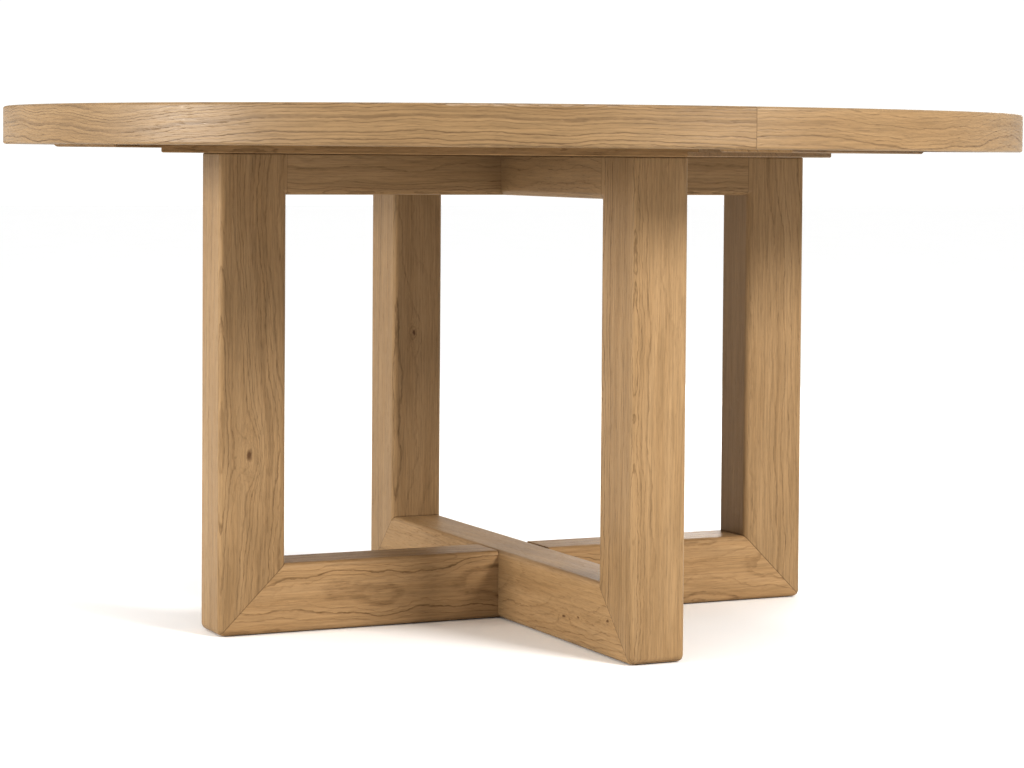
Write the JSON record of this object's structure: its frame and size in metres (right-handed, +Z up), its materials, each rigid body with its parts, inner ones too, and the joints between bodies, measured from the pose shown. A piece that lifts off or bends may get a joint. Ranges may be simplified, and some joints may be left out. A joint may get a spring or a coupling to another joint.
{
  "type": "pedestal table",
  "caption": "Round oak dining table whose edged plank top sits on a pedestal of closed rectangular timber frames crossing at right angles, with levelling feet.",
  "frame": {"origin": "on the floor, below the centre of the round top", "axes": "+Z up; +X along one pedestal frame from its left leg to its right leg; +Y along the other from its front leg to its back leg"},
  "size_m": [1.5199, 1.5199, 0.762],
  "materials": {
    "oak_pedestal": "satin",
    "oak_top": "satin",
    "oak_underside": "matte",
    "beech": "matte",
    "zinc_steel": "satin",
    "brass": "satin",
    "nylon": "matte"
  },
  "bodies": {
    "table": {"leg_left": "oak_pedestal", "leg_right": "oak_pedestal", "leg_front": "oak_pedestal", "leg_back": "oak_pedestal", "bottom_rail_x": "oak_pedestal", "bottom_rail_y": "oak_pedestal", "top_rail_x": "oak_pedestal", "top_rail_y": "oak_pedestal", "top_board_1": "oak_top", "top_board_2": "oak_top", "top_board_3": "oak_top", "top_board_4": "oak_top", "top_board_5": "oak_top", "top_board_6": "oak_top", "top_board_7": "oak_top", "top_board_8": "oak_top", "top_board_9": "oak_top", "rim_segment_1": "oak_top", "rim_segment_2": "oak_top", "rim_segment_3": "oak_top", "sub_board": "oak_underside", "base_plate": "oak_underside", "side_batten_left": "oak_underside", "side_batten_right": "oak_underside", "mitre_tenons": "beech", "top_rail_dowels": "beech", "rim_splines": "beech", "rim_tenons": "beech", "crossing_screws": "zinc_steel", "plate_screws": "zinc_steel", "sub_board_screws": "zinc_steel", "batten_screws": "zinc_steel", "plate_bolts": "zinc_steel", "plate_inserts": "brass", "foot_insert_right": "brass", "foot_insert_back": "brass", "foot_insert_left": "brass", "foot_insert_front": "brass"},
    "foot_right": {"foot_stem_right": "zinc_steel", "foot_pad_right": "nylon"},
    "foot_back": {"foot_stem_back": "zinc_steel", "foot_pad_back": "nylon"},
    "foot_left": {"foot_stem_left": "zinc_steel", "foot_pad_left": "nylon"},
    "foot_front": {"foot_stem_front": "zinc_steel", "foot_pad_front": "nylon"}
  },
  "joints": [
    {"name": "foot_right_height", "type": "slide", "parent": "table", "child": "foot_right", "axis": [0, 0, -1], "range_m": [0, 0.01]},
    {"name": "foot_back_height", "type": "slide", "parent": "table", "child": "foot_back", "axis": [0, 0, -1], "range_m": [0, 0.01]},
    {"name": "foot_left_height", "type": "slide", "parent": "table", "child": "foot_left", "axis": [0, 0, -1], "range_m": [0, 0.01]},
    {"name": "foot_front_height", "type": "slide", "parent": "table", "child": "foot_front", "axis": [0, 0, -1], "range_m": [0, 0.01]}
  ]
}
